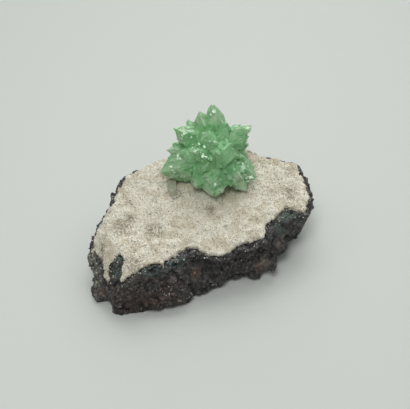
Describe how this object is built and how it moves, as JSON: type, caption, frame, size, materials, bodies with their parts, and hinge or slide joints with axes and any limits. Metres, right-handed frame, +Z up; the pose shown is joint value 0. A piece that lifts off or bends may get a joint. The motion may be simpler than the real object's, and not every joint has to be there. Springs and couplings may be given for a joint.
{
  "type": "apophyllite on matrix",
  "caption": "Mineral specimen: a ball-shaped spray of pointed green crystals on a white drusy crust over a broken piece of dark vesicular basalt.",
  "frame": {"origin": "centre of the bounding box's bottom face, where the specimen rests on its flat underside", "axes": "+Z up, +X along the specimen's long side to the viewer's right, -Y towards the viewer of the picture"},
  "size_m": [0.1098, 0.0862, 0.0637],
  "materials": {
    "basalt": "rough broken vesicular basalt, matt to faintly glinting",
    "druse": "granular crust of small cream-white crystals, matt with small glints",
    "green_apophyllite": "vitreous, milky inside",
    "grey_crystal": "vitreous, cloudy"
  },
  "bodies": {
    "root": {"basalt_matrix": "basalt", "druse_crust": "druse", "apophyllite_cluster": "green_apophyllite", "grey_crystal": "grey_crystal"}
  },
  "joints": []
}
